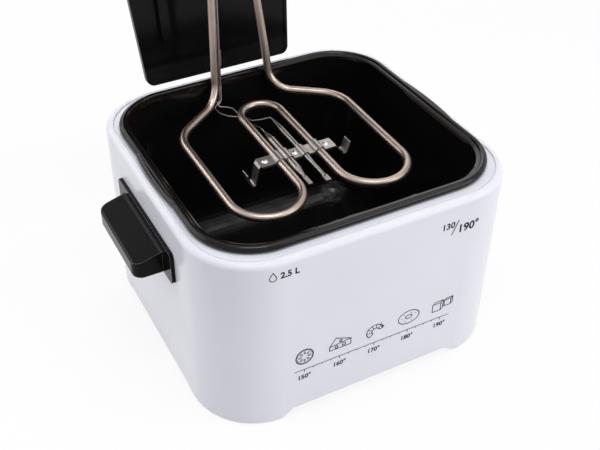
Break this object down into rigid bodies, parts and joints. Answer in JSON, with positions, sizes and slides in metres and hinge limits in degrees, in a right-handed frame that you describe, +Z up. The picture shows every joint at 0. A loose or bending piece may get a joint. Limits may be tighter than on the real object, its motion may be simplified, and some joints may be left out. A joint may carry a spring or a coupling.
{
  "type": "deep fryer",
  "caption": "Table-top deep fryer: white housing on feet, lift-out black oil pan and a lift-off control head with a looped tubular heating element, bulbs and knob.",
  "frame": {"origin": "centre of the whole footprint, on the table under the foot pads", "axes": "+X to the right seen from the front, +Y to the back, +Z up; the front faces -Y"},
  "size_m": [0.298, 0.2966, 0.3237],
  "materials": {
    "housing_white": "gloss white lacquer",
    "base_grey": "satin galvanised grey",
    "fixings": "zinc plated",
    "pad_rubber": "matt",
    "pan_black": "gloss black non-stick enamel",
    "handle_black": "fine-grained satin",
    "head_black": "gloss",
    "element_steel": "annealed champagne tint",
    "clamp_steel": "stamped sheet",
    "bulb_copper": "nickel plated",
    "bushing_brass": "turned",
    "dial_metal": "spun",
    "knob_black": "satin",
    "bakelite": "moulded",
    "lamp_green": "clear lens",
    "lamp_red": "clear lens",
    "button_red": "gloss",
    "plunger_nylon": "natural nylon",
    "terminal_ivory": "unglazed",
    "gland_black": "satin"
  },
  "bodies": {
    "housing": {"outer_body": "housing_white", "base_plate": "base_grey", "base_screws": "fixings", "foot_pads": "pad_rubber", "left_handle": "handle_black", "right_handle": "handle_black", "handle_screws": "fixings", "head_guide": "housing_white", "guide_screws": "fixings"},
    "oil_pan": {"pan": "pan_black"},
    "control_head": {"heating_element": "element_steel", "element_flange": "fixings", "leg_bushings": "bushing_brass", "clamp_upper": "clamp_steel", "clamp_lower": "clamp_steel", "clamp_rivets": "clamp_steel", "thermostat_bulb": "bulb_copper", "cutout_bulb": "bulb_copper", "thermostat_capillary": "bulb_copper", "cutout_capillary": "bulb_copper", "capillary_clip": "clamp_steel", "head_shell": "head_black", "head_base": "head_black", "head_screws": "fixings", "slide_plate": "head_black", "dial_ring": "dial_metal", "thermostat_body": "bakelite", "power_lamp": "lamp_green", "heating_lamp": "lamp_red", "cutout_body": "bakelite", "safety_switch": "bakelite", "terminal_block": "terminal_ivory", "cord_gland": "gland_black"},
    "knob": {"temperature_knob": "knob_black", "knob_shaft": "fixings"},
    "reset": {"reset_button": "button_red"},
    "presence_pin": {"safety_plunger": "plunger_nylon"}
  },
  "joints": [
    {"name": "head_lift", "type": "slide", "parent": "housing", "child": "control_head", "axis": [0, 0.1736, 0.9848], "range_m": [-0.1, 0.02]},
    {"name": "pan_lift", "type": "slide", "parent": "housing", "child": "oil_pan", "axis": [0, 0.1736, 0.9848], "range_m": [0, 0.04]},
    {"name": "temperature_turn", "type": "hinge", "parent": "control_head", "child": "knob", "pos_m": [0, 0.10529, 0.3075], "axis": [0, 0, 1], "range_deg": [-270, 0]},
    {"name": "reset_press", "type": "slide", "parent": "control_head", "child": "reset", "axis": [0, -1, 0], "range_m": [0, 0.002], "stiffness_N_per_m": 400, "springref_m": -0.001},
    {"name": "pin_press", "type": "slide", "parent": "control_head", "child": "presence_pin", "axis": [0, 0, 1], "range_m": [0, 0.0025], "stiffness_N_per_m": 300, "springref_m": -0.001}
  ]
}
